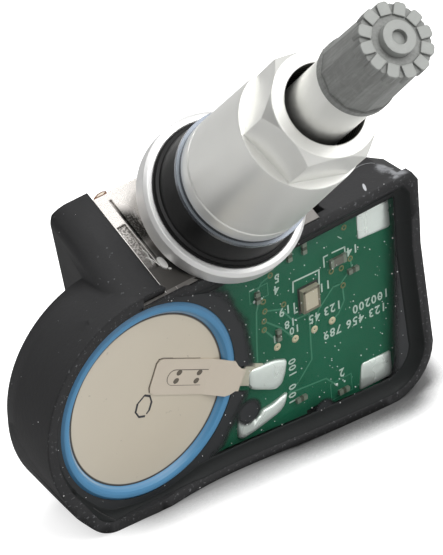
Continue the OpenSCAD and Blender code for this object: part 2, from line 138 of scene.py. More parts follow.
def add(tree, kind, **values):
    """A node with settings and inputs set by name, spaces written as underscores."""
    made = tree.nodes.new(kind)
    for key, value in values.items():
        if hasattr(made, key) and key not in made.inputs:
            setattr(made, key, value)
        else:
            made.inputs[key.replace("_", " ")].default_value = value
    return made


def feed(tree, socket, value):
    """Links a socket to an input, or sets the input to a plain value."""
    if isinstance(value, bpy.types.NodeSocket):
        tree.links.new(value, socket)
    else:
        socket.default_value = value


def calc(tree, operation, *values):
    """The result of a math node on sockets or numbers."""
    made = add(tree, "ShaderNodeMath", operation=operation)
    for socket, value in zip(made.inputs, values):
        feed(tree, socket, value)
    return made.outputs[0]


def chain(tree, operation, first, *more):
    """Two or more sockets or numbers joined one after another by the same math."""
    for value in more:
        first = calc(tree, operation, first, value)
    return first


def times(tree, *values):
    """The product of sockets or numbers."""
    return chain(tree, "MULTIPLY", *values)


def plus(tree, *values):
    """The sum of sockets or numbers."""
    return chain(tree, "ADD", *values)


def most(tree, *values):
    """The largest of sockets or numbers."""
    return chain(tree, "MAXIMUM", *values)


def distance(tree, u, v):
    """How far a place lies from the middle of its frame."""
    return calc(tree, "SQRT", plus(tree, times(tree, u, u), times(tree, v, v)))


def fade(tree, value, low, high, start=1.0):
    """A soft step down to nothing, between two values."""
    return ease(tree, value, low, high, start, 0.0)


def ease(tree, value, low, high, start=0.0, end=1.0):
    """A soft step from start to end, between two values."""
    made = add(tree, "ShaderNodeMapRange", interpolation_type="SMOOTHSTEP", From_Min=low, From_Max=high,
               To_Min=start, To_Max=end)
    feed(tree, made.inputs["Value"], value)
    return made.outputs["Result"]


def blend_color(tree, share, first, second):
    """Mixes two colours by a share."""
    made = add(tree, "ShaderNodeMixRGB")
    feed(tree, made.inputs[0], share)
    for socket, color in ((made.inputs[1], first), (made.inputs[2], second)):
        feed(tree, socket, color if isinstance(color, bpy.types.NodeSocket) else [*color[:3], 1])
    return made.outputs[0]


def mix_shaders(tree, share, first, second):
    """Mixes two shaders by a share."""
    made = add(tree, "ShaderNodeMixShader")
    for socket, value in zip(made.inputs, (share, first, second)):
        feed(tree, socket, value)
    return made.outputs[0]


def bumped(tree, height, strength, size, normal=None):
    """A normal that follows a height, on top of an earlier normal."""
    made = add(tree, "ShaderNodeBump", Strength=strength, Distance=size)
    tree.links.new(height, made.inputs["Height"])
    if normal:
        tree.links.new(normal, made.inputs["Normal"])
    return made.outputs["Normal"]


def local_place(tree, place):
    """The object's coordinates in one of the part's local frames, as x, y and z in millimetres."""
    back = (SCALE @ place).inverted()
    coords = add(tree, "ShaderNodeTexCoord")
    mapping = add(tree, "ShaderNodeMapping", Location=back.translation,
                  Rotation=back.to_quaternion().to_euler(), Scale=[1 / MM] * 3)
    tree.links.new(coords.outputs["Object"], mapping.inputs["Vector"])
    parts = add(tree, "ShaderNodeSeparateXYZ")
    tree.links.new(mapping.outputs["Vector"], parts.inputs[0])
    return parts.outputs[0], parts.outputs[1], parts.outputs[2]


def noise(tree, size, detail=4.0, stretch=(1, 1, 1)):
    """A noise on the object's coordinates, with grains of about 1 / size metres."""
    coords = add(tree, "ShaderNodeTexCoord")
    mapping = add(tree, "ShaderNodeMapping", Scale=stretch)
    tree.links.new(coords.outputs["Object"], mapping.inputs["Vector"])
    made = add(tree, "ShaderNodeTexNoise", Scale=size, Detail=detail, Roughness=0.6)
    tree.links.new(mapping.outputs["Vector"], made.inputs["Vector"])
    return made.outputs["Fac"]


def local_noise(tree, place, size, stretch=(1, 1, 1), detail=3.0):
    """A noise in a local frame, of about size grains a millimetre, stretched along that frame's axes."""
    join = add(tree, "ShaderNodeCombineXYZ")
    for socket, value, share in zip(join.inputs, local_place(tree, place), stretch):
        feed(tree, socket, calc(tree, "MULTIPLY", value, share))
    made = add(tree, "ShaderNodeTexNoise", Scale=size, Detail=detail, Roughness=0.6)
    tree.links.new(join.outputs[0], made.inputs["Vector"])
    return made.outputs["Fac"]


def surface(name, color, rough=0.4, metal=0.0, grain=0.0, grain_size=900.0, tint=0.0, soft_edge=0.0, spread=0.0,
            level=0.5, crevice_shade=0.0, paint=None, relief=None):
    """A finish whose tint, gloss and grain vary a little. paint(tree, color) may redraw the colour and the
    gloss, and relief(tree) may add a height in millimetres. Its hollows may be darkened as painted shade."""
    made, tree, out = new_material(name)
    link = tree.links.new
    shader = add(tree, "ShaderNodeBsdfPrincipled", Roughness=rough, Metallic=metal, Specular_IOR_Level=level)
    wide = noise(tree, 120.0, 3.0)
    shade = blend_color(tree, wide, [c * (1 - tint) for c in color], [min(1.0, c * (1 + tint)) for c in color])
    if paint:
        shade, gloss = paint(tree, shade)
        if gloss is not None:
            feed(tree, shader.inputs["Roughness"], gloss)
    elif spread:
        link(ease(tree, wide, 0.3, 0.7, rough - spread, rough + spread), shader.inputs["Roughness"])
    # Painted shade: the hollows that ambient occlusion finds are darkened in the colour.
    if crevice_shade:
        hollow = add(tree, "ShaderNodeAmbientOcclusion", samples=8, Distance=0.0008)
        dark = ease(tree, hollow.outputs["AO"], 0.25, 0.95, crevice_shade, 1.0)
        shade = blend_color(tree, dark, (0.0, 0.0, 0.0), shade)
    link(shade, shader.inputs["Base Color"])
    normal = None
    if soft_edge:
        normal = add(tree, "ShaderNodeBevel", samples=4, Radius=soft_edge).outputs["Normal"]
    if relief:
        normal = bumped(tree, relief(tree), 1.0, MM, normal)
    if grain:
        normal = bumped(tree, noise(tree, grain_size, 5.0), grain, 0.0001, normal)
    if normal:
        link(normal, shader.inputs["Normal"])
    link(shader.outputs["BSDF"], out.inputs["Surface"])
    return made


# Finishes that are drawn in a local frame

def marked_plastic(tree, shade):
    """Moulded black plastic, paler and glossier in patches at the shelf's far corner, and flecked pale along
    its front rim.
    """
    u, v, n = local_place(tree, FLAT)
    along = times(tree, ease(tree, u, 36.4, 37.3), fade(tree, u, 38.6, 39.4))
    deep = times(tree, ease(tree, n, -3.6, -2.8), fade(tree, n, 0.2, 0.9))
    tone_mask = times(tree, along, deep, ease(tree, v, 12.6, 13.0), ease(tree, noise(tree, 500.0, 6.0), 0.4, 0.55))
    chip_u = calc(tree, "DIVIDE", plus(tree, u, times(tree, n, 0.5), -33.1), 0.22)
    chip_n = calc(tree, "DIVIDE", plus(tree, n, 0.6), 0.75)
    far = plus(tree, times(tree, chip_u, chip_u), times(tree, chip_n, chip_n))
    chip = times(tree, fade(tree, far, 0.6, 1.1), ease(tree, v, 13.2, 13.35))
    fleck = times(tree, ease(tree, noise(tree, 1500.0, 2.0), 0.7, 0.75),
                  ease(tree, noise(tree, 160.0, 2.0), 0.5, 0.6))
    rim = times(tree, ease(tree, noise(tree, 2300.0, 3.0), 0.58, 0.7), ease(tree, n, 0.35, 0.75))
    mark = most(tree, times(tree, tone_mask, 0.5), chip, times(tree, fleck, 0.25), times(tree, rim, 0.22))
    return blend_color(tree, mark, shade, (0.42, 0.43, 0.45)), ease(tree, mark, 0.0, 1.0, 0.6, 0.4)


def cell_paint(tree, shade):
    """The can's warm face with a few faint marks, a painted shadow line round its rim by the sleeve, and
    painted light that makes it paler towards its upper left.
    """
    u, v, n = local_place(tree, FLAT)
    # Painted shadow: a dark line round the face's rim, in the gap by the sleeve.
    rim = times(tree, ease(tree, distance(tree, u, v), 10.62, 10.78), ease(tree, n, -0.75, -0.7))
    spot = times(tree, ease(tree, noise(tree, 1100.0, 2.0), 0.68, 0.74),
                 ease(tree, noise(tree, 90.0, 2.0), 0.52, 0.6))
    shade = blend_color(tree, times(tree, spot, 0.35), shade, (0.2, 0.17, 0.13))
    # Painted light: the face grows paler towards its upper left.
    pale = ease(tree, calc(tree, "SUBTRACT", v, u), -12.0, 16.0)
    shade = blend_color(tree, times(tree, pale, 0.25), shade, (0.72, 0.67, 0.58))
    return blend_color(tree, rim, shade, (0.06, 0.055, 0.05)), None


def sleeve_paint(tree, shade):
    """Blue film with a pale line at its inner edge, where it catches the light."""
    u, v, _ = local_place(tree, FLAT)
    r = distance(tree, u, v)
    pale = times(tree, ease(tree, r, 10.98, 11.08), fade(tree, r, 11.12, 11.3))
    pale = times(tree, pale, ease(tree, calc(tree, "SUBTRACT", v, u), -6.0, 8.0, 0.1, 0.75))
    shade = blend_color(tree, pale, shade, (0.5, 0.56, 0.6))
    return blend_color(tree, times(tree, ease(tree, r, 11.7, 12.45), 0.35), shade, (0.02, 0.06, 0.12)), None


def plate_paint(tree, shade):
    """Bright nickel plate: speckled in its window, with a painted shadow of the ring beside it, and dark at its
    front and front edge.
    """
    x, y, z = local_place(tree, PLATE)
    grain = local_noise(tree, PLATE, 5.0)
    streak = local_noise(tree, PLATE, 2.2, (2.2, 0.7, 1.0))
    edge = plus(tree, x, times(tree, plus(tree, streak, -0.5), 1.6))
    top = plus(tree, y, times(tree, plus(tree, x, -5.0), 0.7))
    # Painted shadow of the ring, on the plate beside the pressed strip.
    ring_shadow = times(tree, ease(tree, x, 4.9, 5.12), fade(tree, edge, 6.2, 7.4), ease(tree, y, 5.2, 7.6),
                  fade(tree, top, 10.8, 13.2), ease(tree, grain, 0.3, 0.5, 0.75, 1.0))
    below = times(tree, fade(tree, y, 5.4, 8.0, 0.72), ease(tree, x, 4.9, 5.1))
    strip = times(tree, fade(tree, y, 4.0, 7.6, 0.75), fade(tree, x, 4.9, 5.0))
    front = times(tree, fade(tree, plus(tree, y, grain), 3.9, 5.2, 0.93), fade(tree, x, 10.5, 12.0),
                  ease(tree, y, -0.02, 0.1))
    lip = times(tree, fade(tree, y, -0.06, -0.01), fade(tree, z, -0.1, -0.04))
    window = times(tree, fade(tree, z, -0.16, -0.12), fade(tree, x, 5.0, 5.02), ease(tree, y, 3.0, 3.1))
    spots = ease(tree, local_noise(tree, PLATE, 4.6), 0.4, 0.6, 0.2, 0.8)
    dark = most(tree, ring_shadow, front, below, strip, lip, times(tree, window, spots))
    shade = blend_color(tree, dark, shade, (0.035, 0.033, 0.03))
    return shade, ease(tree, dark, 0.0, 0.9, 0.27, 0.5)


def cap_paint(tree, shade):
    """Grey moulded plastic, streaked along its sides, with painted shade that makes its sides darker than its
    top.
    """
    z = local_place(tree, VALVE)[2]
    streak = ease(tree, local_noise(tree, VALVE, 3.6, (1.0, 1.0, 0.08), 4.0), 0.35, 0.65)
    # Painted shade: below the top the sides are darkened, more where the streaks run.
    tone_mask = times(tree, plus(tree, times(tree, streak, 0.25), 0.3), fade(tree, z, 49.3, 49.7))
    shade = blend_color(tree, tone_mask, shade, (0.1, 0.1, 0.095))
    pale = times(tree, ease(tree, noise(tree, 900.0, 4.0), 0.5, 0.7), 0.15)
    return blend_color(tree, pale, shade, (0.42, 0.43, 0.41)), None


def thread_height(tree, x, y, z, pitch, deep):
    """The height of a screw thread round the valve's axis."""
    turn = calc(tree, "DIVIDE", calc(tree, "ARCTAN2", y, x), 2 * math.pi)
    phase = calc(tree, "SUBTRACT", calc(tree, "DIVIDE", z, pitch), turn)
    return times(tree, calc(tree, "PINGPONG", phase, 0.5), deep)


def stem_threads(tree):
    """Threads on the stem's end and on the part of it that the nut screws onto."""
    x, y, z = local_place(tree, VALVE)
    end = times(tree, thread_height(tree, x, y, z, VALVE_PITCH, 0.55), ease(tree, z, 38.7, 38.9))
    low = times(tree, thread_height(tree, x, y, z, NUT_PITCH, 0.6), fade(tree, z, 22.2, 22.6),
                ease(tree, z, 10.6, 10.9))
    return plus(tree, end, low)


def nut_threads(tree):
    """The nut's thread, which shows as ridges inside its mouth, and fine turning rings on its end."""
    x, y, z = local_place(tree, VALVE)
    r = distance(tree, x, y)
    inside = fade(tree, r, *MOUTH_EDGE)
    turned = times(tree, calc(tree, "PINGPONG", r, 0.09), 0.1, ease(tree, z, 30.9, 31.0))
    return plus(tree, times(tree, thread_height(tree, x, y, z, 0.8, 0.9), inside), turned)


def nut_paint(tree, shade):
    """Satin aluminium, with painted shade inside the mouth, in the groove near its foot and in the gap at its
    foot.
    """
    x, y, z = local_place(tree, VALVE)
    r = distance(tree, x, y)
    # Painted shade in the mouth, in the groove and in the gap at the foot.
    inside = times(tree, fade(tree, r, *MOUTH_EDGE), ease(tree, z, 30.8, 31.08, 1.0, 0.3))
    groove = times(tree, ease(tree, z, 10.2, 10.24), fade(tree, z, 10.36, 10.42, 0.6),
                   ease(tree, noise(tree, 1400.0, 2.0), 0.35, 0.55, 0.4, 1.0))
    foot = times(tree, fade(tree, z, 8.12, 8.2, 0.9), ease(tree, r, 7.0, 7.2))
    shade = blend_color(tree, inside, shade, (0.07, 0.07, 0.064))
    return blend_color(tree, most(tree, foot, groove), shade, (0.03, 0.03, 0.032)), None


def board_paint(tree, shade):
    """Green mask, paler over its copper and towards its upper edge."""
    v = local_place(tree, FLAT)[1]
    cloud = ease(tree, noise(tree, 130.0, 2.0), 0.35, 0.7)
    shade = blend_color(tree, times(tree, cloud, 0.3), shade, (0.014, 0.15, 0.085))
    return blend_color(tree, times(tree, ease(tree, v, 5.0, 10.5), 0.25), shade, (0.06, 0.17, 0.125)), None


def oval_share(tree, u, v, at_u, at_v, long, wide, turn):
    """How far out in an ellipse a place is: 0 at its middle and 1 on its edge."""
    c, s = math.cos(math.radians(turn)), math.sin(math.radians(turn))
    du, dv = plus(tree, u, -at_u), plus(tree, v, -at_v)
    along = plus(tree, times(tree, du, c / long), times(tree, dv, s / long))
    across = plus(tree, times(tree, dv, c / wide), times(tree, du, -s / wide))
    return distance(tree, along, across)


def resin_clearness(tree):
    """How clear the potting is: clear over the board and its joints, dark over the gap round the board, where
    the black pocket beneath and its shade are painted into the potting.
    """
    u, v, _ = local_place(tree, FLAT)
    wave = times(tree, plus(tree, noise(tree, 320.0, 3.0), -0.5), 1.6)
    far_side = fade(tree, plus(tree, u, times(tree, v, -0.065)), 36.4, 38.0)
    low_side = ease(tree, plus(tree, v, times(tree, u, 0.13), wave), -12.3, -11.1)
    cell_side = ease(tree, plus(tree, distance(tree, u, v), wave), 13.7, 15.6)
    clear = times(tree, far_side, low_side, cell_side)
    for at_u, at_v, wide in DARK_SPOTS:
        clear = times(tree, clear, ease(tree, oval_share(tree, u, v, at_u, at_v, wide, wide, 0), 0.6, 1.2))
    for oval_at in CLEAR_OVALS:
        clear = most(tree, clear, fade(tree, oval_share(tree, u, v, *oval_at), 0.8, 1.1))
    return clear


def clear_resin(name):
    """Clear potting with a glossy skin, made dark where it isn't clear: the black pocket beneath and its shade,
    painted in.
    """
    made, tree, out = new_material(name)
    clear = resin_clearness(tree)
    through = add(tree, "ShaderNodeBsdfTransparent")
    feed(tree, through.inputs["Color"], blend_color(tree, clear, (0.12, 0.125, 0.125), (0.95, 0.97, 0.96)))
    dark_pocket = add(tree, "ShaderNodeBsdfPrincipled", Base_Color=(0.024, 0.026, 0.028, 1), Roughness=0.3,
                 Specular_IOR_Level=0.2)
    # The share of painted dark, where the potting isn't clear.
    cloud = times(tree, calc(tree, "SUBTRACT", 1.0, clear), 0.9)
    body = mix_shaders(tree, cloud, through.outputs["BSDF"], dark_pocket.outputs["BSDF"])
    glossy = add(tree, "ShaderNodeBsdfGlossy", Color=(1, 1, 1, 1), Roughness=0.14)
    feed(tree, glossy.inputs["Normal"], bumped(tree, noise(tree, 260.0, 3.0), 0.25, 0.0002))
    edge = add(tree, "ShaderNodeFresnel", IOR=1.4).outputs["Fac"]
    back = add(tree, "ShaderNodeNewGeometry").outputs["Backfacing"]
    share = times(tree, edge, calc(tree, "SUBTRACT", 1.0, back), 0.3)
    tree.links.new(mix_shaders(tree, share, body, glossy.outputs["BSDF"]), out.inputs["Surface"])
    return made


black_plastic = surface("black_plastic", (0.032, 0.032, 0.033), 0.6, grain=0.4, grain_size=1800, tint=0.15,
    soft_edge=0.0004, level=0.12, paint=marked_plastic)
resin_dark = surface("resin_dark", (0.014, 0.0155, 0.0155), 0.4, grain=0.25, grain_size=1500, tint=0.25,
    level=0.12)
potting_clear = clear_resin("potting_clear")
board_green = surface("board_green", (0.01, 0.11, 0.058), 0.45, tint=0.1, level=0.15, paint=board_paint)
trace_green = surface("trace_green", (0.035, 0.2, 0.115), 0.4)
print_white = surface("print_white", (0.52, 0.6, 0.55), 0.6, tint=0.1)
via_copper = surface("via_copper", (0.2, 0.19, 0.08), 0.35, metal=0.3)
pad_gold = surface("pad_gold", (0.72, 0.6, 0.42), 0.35, metal=0.3, tint=0.1)
cell_plate = surface("cell_plate", (0.6, 0.54, 0.435), 0.45, metal=0.25, grain=0.1, tint=0.04, paint=cell_paint)
sleeve_blue = surface("sleeve_blue", (0.07, 0.24, 0.43), 0.35, tint=0.1, paint=sleeve_paint)
ink_black = surface("ink_black", (0.03, 0.03, 0.035), 0.5)
nickel = surface("nickel", (0.62, 0.55, 0.455), 0.42, metal=0.3, tint=0.04)
tab_line = surface("tab_line", (0.13, 0.11, 0.09), 0.5, metal=0.2)
weld_brown = surface("weld_brown", (0.13, 0.11, 0.085), 0.5, metal=0.3)
bright_nickel = surface("bright_nickel", (0.66, 0.63, 0.6), 0.28, metal=0.9, tint=0.05, grain=0.12,
    grain_size=1400, soft_edge=0.0002, paint=plate_paint)
bright_edge = surface("bright_edge", (0.9, 0.88, 0.85), 0.2, metal=0.9)
burr_bright = surface("burr_bright", (0.92, 0.91, 0.88), 0.3, metal=0.45)
rust_brown = surface("rust_brown", (0.16, 0.07, 0.03), 0.6)
solder_bright = surface("solder_bright", (0.92, 0.92, 0.89), 0.3, metal=0.6, tint=0.12, grain=0.9,
    grain_size=420, spread=0.1)
chip_black = surface("chip_black", (0.02, 0.02, 0.02), 0.4, tint=0.1)
chip_tan = surface("chip_tan", (0.05, 0.055, 0.035), 0.4, tint=0.2)
chip_grey = surface("chip_grey", (0.13, 0.12, 0.1), 0.4, tint=0.2)
end_grey = surface("end_grey", (0.2, 0.22, 0.18), 0.45, metal=0.2, tint=0.2)
can_rim = surface("can_rim", (0.24, 0.2, 0.15), 0.45, metal=0.3, tint=0.15)
can_nickel = surface("can_nickel", (0.62, 0.53, 0.42), 0.4, metal=0.4, tint=0.05)
rubber_black = surface("rubber_black", (0.006, 0.006, 0.006), 0.36, tint=0.1, grain=0.08, level=0.22)
seal_rubber = surface("seal_rubber", (0.02, 0.02, 0.02), 0.6, tint=0.1)
stem_satin = surface("stem_satin", (0.8, 0.8, 0.765), 0.38, metal=0.8, grain=0.05, grain_size=2500, tint=0.03,
    soft_edge=0.0002, relief=stem_threads)
nut_satin = surface("nut_satin", (0.86, 0.86, 0.825), 0.4, metal=0.8, grain=0.08, grain_size=2500, tint=0.03,
    soft_edge=0.00025, paint=nut_paint, relief=nut_threads)
ring_satin = surface("ring_satin", (0.8, 0.8, 0.79), 0.46, metal=0.85, grain=0.12, grain_size=2500, tint=0.03,
    soft_edge=0.0002)
washer_steel = surface("washer_steel", (0.2, 0.22, 0.25), 0.25, metal=1.0, tint=0.03, soft_edge=0.0001)
brass = surface("brass", (0.7, 0.5, 0.2), 0.3, metal=1.0, tint=0.05)
cap_grey = surface("cap_grey", (0.3, 0.31, 0.295), 0.5, grain=0.3, grain_size=1500, tint=0.06,
    soft_edge=0.0002, crevice_shade=0.75, paint=cap_paint)
scuff_pale = surface("scuff_pale", (0.2, 0.205, 0.21), 0.6)
dust_white = surface("dust_white", (0.75, 0.75, 0.75), 0.6)

LOOKS = {
    "housing": black_plastic, "potting": potting_clear, "circuit_board": board_green, "crystal": can_nickel,
    "cell_can": cell_plate, "cell_cap": cell_plate, "cell_sleeve": sleeve_blue, "cell_gasket": seal_rubber,
    "positive_tab": nickel, "negative_tab": nickel, "antenna_strap": nickel, "solder_joints": solder_bright,
    "inductor": chip_grey, "chip_parts": chip_tan, "sensor_chip": chip_black, "wake_coil": chip_black,
    "port_gasket": seal_rubber, "bracket": bright_nickel, "angle_washer": bright_edge,
    "stem_screw": bright_edge, "seat_ring": ring_satin, "valve_stem": stem_satin, "grommet": rubber_black,
    "washer": washer_steel, "collar_nut": nut_satin, "core_body": brass, "core_pin": brass,
    "core_spring": bright_edge, "core_seal": seal_rubber, "cap": cap_grey, "cap_seal": seal_rubber,
}
for name, look in LOOKS.items():
    nodes[name].data.materials.clear()
    nodes[name].data.materials.append(look)


# Shape helpers: a piece is drawn in a local frame in millimetres, then put in its place

def bridge(bm, ring, other):
    """Joins two rings of corners with faces."""
    for i in range(len(ring)):
        j = (i + 1) % len(ring)
        bm.faces.new((ring[i], ring[j], other[j], other[i]))


def prism(bm, outline, low, high):
    """A closed slab with a flat outline."""
    bottom = [bm.verts.new((p[0], p[1], low)) for p in outline]
    top = [bm.verts.new((p[0], p[1], high)) for p in outline]
    bm.faces.new(bottom[::-1])
    bm.faces.new(top)
    bridge(bm, bottom, top)


def stripe(bm, path, width, low, high):
    """A strip of even width, one slab for each straight run of its path."""
    for a, b in zip(path, path[1:]):
        a, b = Vector(a), Vector(b)
        ahead = (b - a).normalized() * width / 2
        side = Vector((-ahead.y, ahead.x))
        a, b = a - ahead * 0.7, b + ahead * 0.7
        prism(bm, [a - side, b - side, b + side, a + side], low, high)


def oval(u, v, wide, tall, turn=0.0, steps=16):
    """The outline of an ellipse."""
    around = [2 * math.pi * i / steps for i in range(steps)]
    c, s = math.cos(turn), math.sin(turn)
    return [(u + wide * math.cos(a) * c - tall * math.sin(a) * s,
             v + wide * math.cos(a) * s + tall * math.sin(a) * c) for a in around]


def rounded(outline, rounds=2, cut=0.22):
    """An outline with its corners cut again and again."""
    points = [Vector(p) for p in outline]
    for _ in range(rounds):
        points = [p.lerp(q, t) for p, q in zip(points, points[1:] + points[:1]) for t in (cut, 1 - cut)]
    return points


def blob(bm, outline, low, height, rounds=2, cut=0.22):
    """A solder joint: a rounded outline that swells quickly and is nearly flat in its middle."""
    points = rounded(outline, rounds, cut)
    centre = sum(points, Vector((0, 0))) / len(points)
    rings = []
    for share, lift in ((0, 0), (0.03, 0.4), (0.09, 0.7), (0.22, 0.9), (0.5, 0.98)):
        rings.append([bm.verts.new((*p.lerp(centre, share), low + height * lift)) for p in points])
    for outer, inner in zip(rings, rings[1:]):
        bridge(bm, outer, inner)
    bm.faces.new(rings[-1])
    bm.faces.new(rings[0][::-1])


def new_object(name, data):
    """An object at the origin, in the scene."""
    made = bpy.data.objects.new(name, data)
    bpy.context.scene.collection.objects.link(made)
    return made


def baked(holder):
    """The mesh that an object shows. The object itself goes."""
    bpy.context.view_layer.update()
    made = bpy.data.meshes.new_from_object(holder.evaluated_get(bpy.context.evaluated_depsgraph_get()))
    holder.modifiers.clear()
    bpy.data.objects.remove(holder)
    return made


def mesh_piece(name, mesh, look, body="sensor", stands_for=()):
    """Adds a finished mesh, which rides on its body."""
    mesh.name = name
    mesh.materials.clear()
    mesh.materials.append(look)
    made = new_object(name, mesh)
    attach(made, body)
    if stands_for:
        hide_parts(*stands_for)
    return made


def piece(name, bm, place, look, body="sensor", stands_for=(), smooth=False):
    """A drawing put at its place as a mesh, its faces outwards."""
    bm.transform(SCALE @ place)
    bmesh.ops.recalc_face_normals(bm, faces=bm.faces)
    mesh = bpy.data.meshes.new(name)
    bm.to_mesh(mesh)
    bm.free()
    for face in mesh.polygons:
        face.use_smooth = smooth
    return mesh_piece(name, mesh, look, body, stands_for)


# Geometry Nodes: what repeats

def new_tree(name, *sizes):
    """A geometry tree with named sizes and a material, and its two end nodes."""
    tree = bpy.data.node_groups.new(name, "GeometryNodeTree")
    tree.interface.new_socket("Geometry", in_out="INPUT", socket_type="NodeSocketGeometry")
    for label in sizes:
        kind = "NodeSocketInt" if label == "Seed" else "NodeSocketFloat"
        tree.interface.new_socket(label, in_out="INPUT", socket_type=kind)
    tree.interface.new_socket("Look", in_out="INPUT", socket_type="NodeSocketMaterial")
    tree.interface.new_socket("Geometry", in_out="OUTPUT", socket_type="NodeSocketGeometry")
    return tree, add(tree, "NodeGroupInput"), add(tree, "NodeGroupOutput")


def end_tree(tree, start, stop, instances):
    """Closes a tree with real geometry and its material."""
    real = add(tree, "GeometryNodeRealizeInstances")
    dress = add(tree, "GeometryNodeSetMaterial")
    tree.links.new(instances, real.inputs["Geometry"])
    tree.links.new(real.outputs["Geometry"], dress.inputs["Geometry"])
    tree.links.new(start.outputs["Look"], dress.inputs["Material"])
    tree.links.new(dress.outputs["Geometry"], stop.inputs[0])


def ring_tree():
    """A flat ring on every point."""
    tree, start, stop = new_tree("rings_on_points", "Middle Radius", "Width", "Height")
    link = tree.links.new
    circle = add(tree, "GeometryNodeCurvePrimitiveCircle", Resolution=16)
    section = add(tree, "GeometryNodeCurvePrimitiveQuadrilateral")
    sweep = add(tree, "GeometryNodeCurveToMesh")
    spread = add(tree, "GeometryNodeInstanceOnPoints")
    link(start.outputs["Middle Radius"], circle.inputs["Radius"])
    link(start.outputs["Width"], section.inputs["Width"])
    link(start.outputs["Height"], section.inputs["Height"])
    link(circle.outputs["Curve"], sweep.inputs["Curve"])
    link(section.outputs["Curve"], sweep.inputs["Profile Curve"])
    link(start.outputs["Geometry"], spread.inputs["Points"])
    link(sweep.outputs["Mesh"], spread.inputs["Instance"])
    end_tree(tree, start, stop, spread.outputs["Instances"])
    return tree


def fleck_tree():
    """Tiny grains of uneven size, scattered over the faces."""
    tree, start, stop = new_tree("scattered_flecks", "Density", "Radius", "Seed")
    link = tree.links.new
    scatter = add(tree, "GeometryNodeDistributePointsOnFaces")
    grain = add(tree, "GeometryNodeMeshIcoSphere", Subdivisions=1)
    spread = add(tree, "GeometryNodeInstanceOnPoints")
    size = add(tree, "FunctionNodeRandomValue", data_type="FLOAT")
    floats = [s for s in size.inputs if s.type == "VALUE"]
    floats[0].default_value = 0.35
    floats[1].default_value = 1.2
    link(start.outputs["Geometry"], scatter.inputs["Mesh"])
    link(start.outputs["Density"], scatter.inputs["Density"])
    link(start.outputs["Seed"], scatter.inputs["Seed"])
    link(start.outputs["Seed"], size.inputs["Seed"])
    link(start.outputs["Radius"], grain.inputs["Radius"])
    link(scatter.outputs["Points"], spread.inputs["Points"])
    link(grain.outputs["Mesh"], spread.inputs["Instance"])
    link([s for s in size.outputs if s.type == "VALUE" and s.enabled][0], spread.inputs["Scale"])
    end_tree(tree, start, stop, spread.outputs["Instances"])
    return tree


def grown(mesh, tree, look, **sizes):
    """The mesh that a tree makes from a mesh, with its inputs set by name."""
    seed = new_object("seed", mesh)
    grow = seed.modifiers.new("grow", "NODES")
    grow.node_group = tree
    values = {key.replace("_", " "): value for key, value in sizes.items()}
    values["Look"] = look
    for item in tree.interface.items_tree:
        if item.in_out == "INPUT" and item.name in values:
            grow[item.identifier] = values[item.name]
    return baked(seed)


RINGS = ring_tree()
FLECKS = fleck_tree()


def rings(name, spots, depth, middle, width, height, look):
    """Flat rings on the board, at spots of the potted face."""
    mesh = bpy.data.meshes.new(name)
    mesh.from_pydata([(u, v, depth) for u, v in spots], [], [])
    made = grown(mesh, RINGS, look, Middle_Radius=middle, Width=width, Height=height)
    made.transform(SCALE @ FLAT)
    return mesh_piece(name, made, look)


# Potting and what lies under it

def swell(size, share):
    """A size that grows from 0 as its share goes to 1, eased at both ends."""
    return size * share * share * (3 - 2 * share)


def lift(place, point):
    """Raises a point near the floor: the long side is slightly hollow."""
    along = (place.x - HOLLOW_FROM) / HOLLOW_LONG
    height = point.z - FLOOR
    if not 0 < along < 1 or height > HOLLOW_FADE:
        return point
    deep = HOLLOW_DEEP * math.sin(math.pi * along ** 0.55) ** 2
    return point + Vector((0, 0, swell(deep, 1 - max(0.0, height) / HOLLOW_FADE)))


def hollow_out(bm):
    """Moves a drawing in the potted face's frame as the long side is hollowed."""
    back = FLAT.inverted()
    for vert in bm.verts:
        vert.co = back @ lift(vert.co, FLAT @ vert.co)


def blend_corner(bm):
    """Runs the leaning skirt of the round end smoothly into the near corner's upright wall."""
    out = (CORNER_AT - SKIRT_AT).normalized()
    for vert in bm.verts:
        away = vert.co.xy - CORNER_AT
        past = away.length - CORNER_R
        if 0.01 < past < 2.5 and out.x * away.y < out.y * away.x + 1e-4:
            share = min(1.0, out.angle(away) / BLEND_TURN)
            vert.co.xy = CORNER_AT + away.normalized() * (CORNER_R + swell(past, share))


def copy_of(name, place, near=1e-6):
    """A CAD node's mesh, its near corners merged, in a local frame in millimetres."""
    bm = bmesh.new()
    bm.from_mesh(nodes[name].data)
    bmesh.ops.remove_doubles(bm, verts=bm.verts, dist=near)
    bm.transform((SCALE @ place).inverted())
    return bm


def housing_shell():
    """The housing with its long side hollowed a little, as it is moulded."""
    bm = copy_of("housing", FLAT)
    up = FLAT.to_3x3().inverted() @ Vector((0, 0, 1))
    cuts = [((HOLLOW_FROM + i * 1.4, 0, 0), (1, 0, 0)) for i in range(24)]
    cuts += [(FLAT.inverted() @ Vector((0, 0, FLOOR + height)), up) for height in (1.5, 3.0, 4.5, HOLLOW_FADE)]
    for at, facing in cuts:
        bmesh.ops.bisect_plane(bm, geom=[*bm.verts, *bm.edges, *bm.faces], plane_co=at, plane_no=facing)
    bmesh.ops.triangulate(bm, faces=bm.faces)
    blend_corner(bm)
    hollow_out(bm)
    made = piece("housing_shell", bm, FLAT, black_plastic, stands_for=("housing",), smooth=True)
    made.data.set_sharp_from_angle(angle=math.radians(32))
    return made


def outer_loop(bm):
    """The outermost ring of a flat drawing's edge, in order."""
    left = [e for e in bm.edges if len(e.link_faces) == 1]
    loops = []
    while left:
        edge = left.pop()
        start, here = edge.verts
        loop = [start, here]
        while here is not start:
            edge = next(e for e in here.link_edges if e in left)
            left.remove(edge)
            here = edge.other_vert(here)
            loop.append(here)
        loops.append(loop[:-1])
    return max(loops, key=lambda ring: max(v.co.x for v in ring) - min(v.co.x for v in ring))


